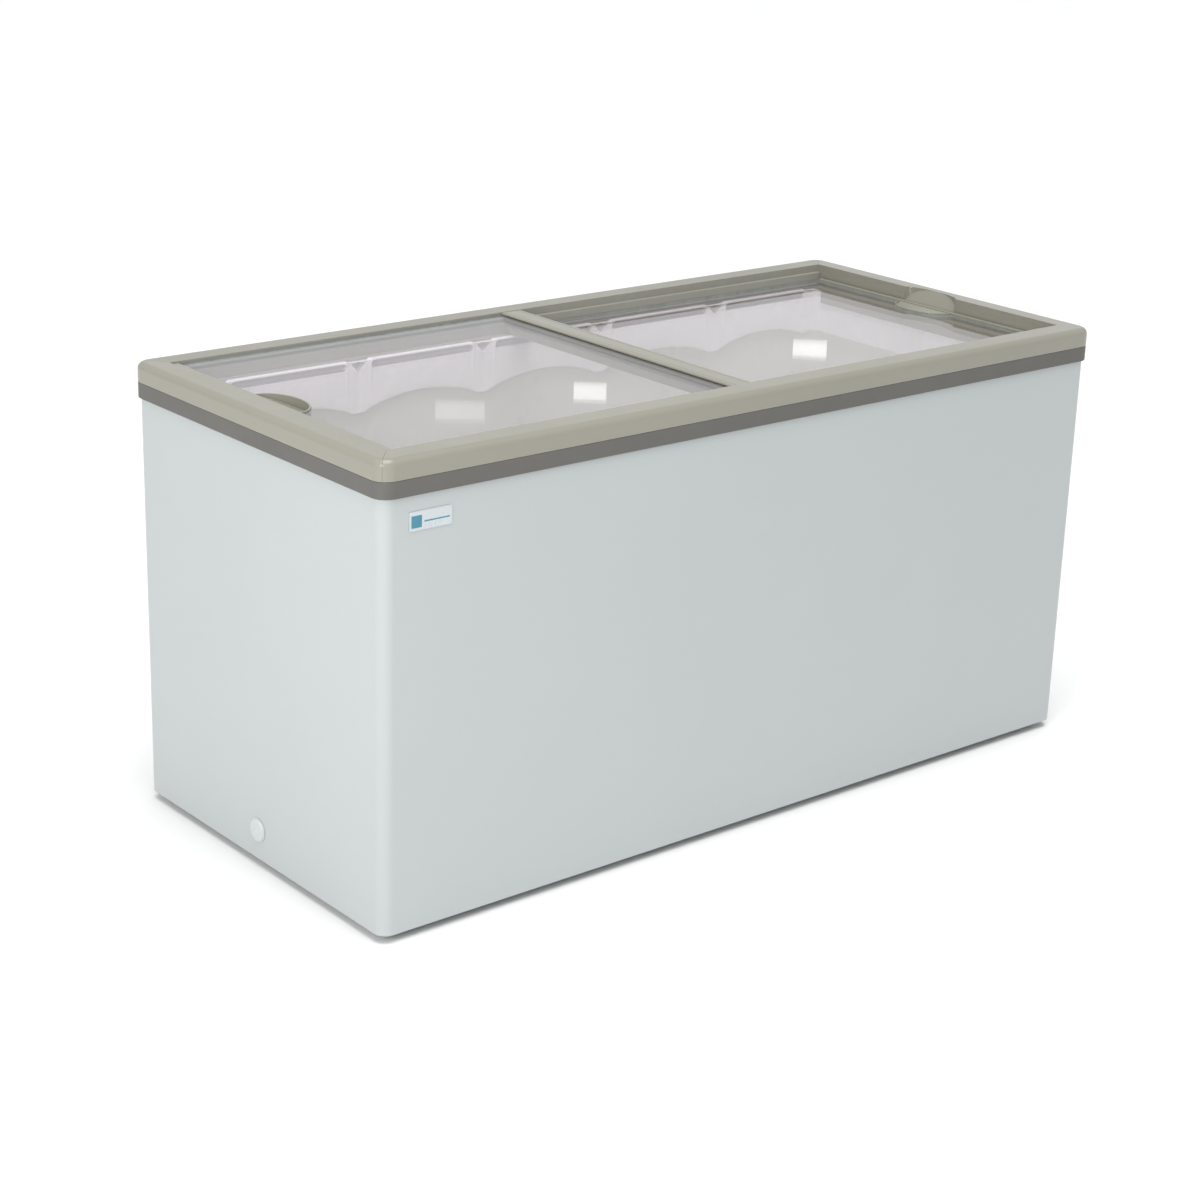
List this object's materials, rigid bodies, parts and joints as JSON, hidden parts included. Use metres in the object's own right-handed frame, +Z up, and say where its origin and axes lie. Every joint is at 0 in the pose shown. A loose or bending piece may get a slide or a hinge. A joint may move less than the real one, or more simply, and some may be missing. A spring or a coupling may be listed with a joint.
{
  "type": "chest freezer",
  "caption": "Chest freezer with two sliding flat glass lids in a grey top frame, a moulded inner collar over a stepped tank, and a machine space at one end.",
  "frame": {"origin": "middle of the feet's underside, which is the bottom centre of the bounding box", "axes": "+X along the length towards the machine space, -Y is the customer's side with the badge, +Z up"},
  "size_m": [1.51, 0.692, 0.752],
  "materials": {
    "white_steel": "satin",
    "frame_grey": "satin",
    "band_grey": "satin",
    "lid_glass": "gloss",
    "collar_white": "gloss",
    "tank_grey": "satin",
    "foam": "matte",
    "galvanised": "satin",
    "black_paint": "satin",
    "black_plastic": "satin",
    "rubber": "matte",
    "copper": "satin",
    "white_plastic": "gloss",
    "grey_plastic": "satin",
    "screw_steel": "polished",
    "badge": "satin",
    "brush": "matte",
    "lamp_green": "gloss"
  },
  "bodies": {
    "cabinet": {"cabinet_wrap": "white_steel", "rear_panel": "white_steel", "base_pan": "galvanised", "foot_front_left": "black_plastic", "foot_front_right": "black_plastic", "foot_rear_left": "black_plastic", "foot_rear_right": "black_plastic", "insulation_foam": "foam", "tank_liner": "tank_grey", "liner_collar": "collar_white", "evaporator_tube": "copper", "frame_front_rail": "frame_grey", "frame_rear_rail": "frame_grey", "frame_left_rail": "frame_grey", "frame_right_rail": "frame_grey", "frame_lower_band": "band_grey", "left_end_buffer": "rubber", "right_end_buffer": "rubber", "drain_tube": "white_plastic", "machine_space_liner": "galvanised", "compressor": "black_paint", "compressor_foot_front_left": "rubber", "compressor_foot_front_right": "rubber", "compressor_foot_rear_left": "rubber", "compressor_foot_rear_right": "rubber", "compressor_terminal_cover": "black_plastic", "condenser": "black_paint", "fan_motor": "black_paint", "fan_stand": "galvanised", "fan_shroud": "galvanised", "filter_drier": "copper", "discharge_tube": "copper", "suction_tube": "copper", "junction_box": "grey_plastic", "mains_inlet_gland": "rubber", "side_grille": "grey_plastic", "thermostat_body": "grey_plastic", "indicator_lamp": "lamp_green", "rear_grille": "grey_plastic", "rear_grille_screw_low_left": "screw_steel", "rear_grille_screw_low_right": "screw_steel", "rear_grille_screw_top_left": "screw_steel", "rear_grille_screw_top_right": "screw_steel", "badge_plate": "badge"},
    "left_lid": {"left_lid_glass": "lid_glass", "left_lid_grip": "frame_grey", "left_lid_stile": "frame_grey", "left_lid_front_glide": "grey_plastic", "left_lid_rear_glide": "grey_plastic", "lid_brush_seal": "brush"},
    "right_lid": {"right_lid_glass": "lid_glass", "right_lid_grip": "frame_grey", "right_lid_stile": "frame_grey", "right_lid_front_glide": "grey_plastic", "right_lid_rear_glide": "grey_plastic"},
    "drain_plug_body": {"drain_plug": "rubber"},
    "drain_cap_body": {"drain_cap": "white_plastic"},
    "knob": {"thermostat_knob": "black_plastic"},
    "fan": {"fan_blades": "grey_plastic"}
  },
  "joints": [
    {"name": "left_lid_slide", "type": "slide", "parent": "cabinet", "child": "left_lid", "axis": [1, 0, 0], "range_m": [0, 0.7]},
    {"name": "right_lid_slide", "type": "slide", "parent": "cabinet", "child": "right_lid", "axis": [1, 0, 0], "range_m": [-0.64, 0]},
    {"name": "drain_plug_lift", "type": "slide", "parent": "cabinet", "child": "drain_plug_body", "axis": [0, 0, 1], "range_m": [0, 0.06]},
    {"name": "drain_cap_pull", "type": "slide", "parent": "cabinet", "child": "drain_cap_body", "axis": [-1, 0, 0], "range_m": [0, 0.04]},
    {"name": "thermostat_turn", "type": "hinge", "parent": "cabinet", "child": "knob", "pos_m": [0.74, 0.183, 0.232], "axis": [1, 0, 0], "range_deg": [-300, 0]},
    {"name": "fan_spin", "type": "hinge", "parent": "cabinet", "child": "fan", "pos_m": [0.68, -0.05, 0.165], "axis": [1, 0, 0], "continuous": true}
  ]
}
